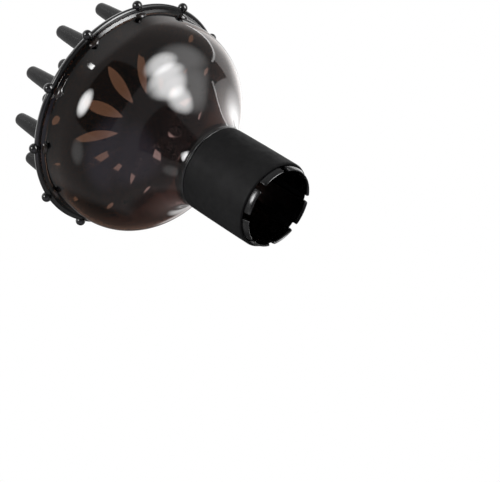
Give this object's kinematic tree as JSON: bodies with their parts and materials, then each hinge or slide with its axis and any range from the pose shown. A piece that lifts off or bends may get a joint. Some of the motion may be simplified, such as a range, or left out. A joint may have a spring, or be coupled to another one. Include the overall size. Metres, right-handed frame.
{
  "type": "hair dryer diffuser",
  "caption": "Bowl-shaped hair dryer diffuser with a ring of hollow prongs, vented finger plate, centre deflector cone and slotted clamp collar in a rubber sleeve.",
  "frame": {"origin": "on the axis, in the plane of the collar's mouth, which is the plane the diffuser stands on when it is set down on its collar", "axes": "+Z along the axis from the collar towards the prongs; +X through one of the rim nubs"},
  "size_m": [0.1556, 0.1556, 0.1696],
  "materials": {
    "smoked_plastic": "polished translucent smoke brown",
    "gloss_black": "gloss black moulding",
    "prong_black": "gloss black moulding",
    "collar_black": "gloss black moulding",
    "grip_rubber": "matt black"
  },
  "bodies": {
    "collar": {"clamp_tube": "collar_black"},
    "sleeve": {"grip_sleeve": "grip_rubber"},
    "bowl": {"bowl": "smoked_plastic"},
    "finger_plate": {"finger_plate": "gloss_black", "deflector_cone": "gloss_black", "outer_prongs": "prong_black", "inner_prongs": "prong_black"}
  },
  "joints": [
    {"name": "bowl_swivel", "type": "hinge", "parent": "collar", "child": "bowl", "pos_m": [0, 0, 0.058], "axis": [0, 0, 1], "continuous": true},
    {"name": "finger_plate_lift", "type": "slide", "parent": "bowl", "child": "finger_plate", "axis": [0, 0, 1], "range_m": [0, 0.06]},
    {"name": "sleeve_slide", "type": "slide", "parent": "collar", "child": "sleeve", "axis": [0, 0, -1], "range_m": [0, 0.0045]}
  ]
}
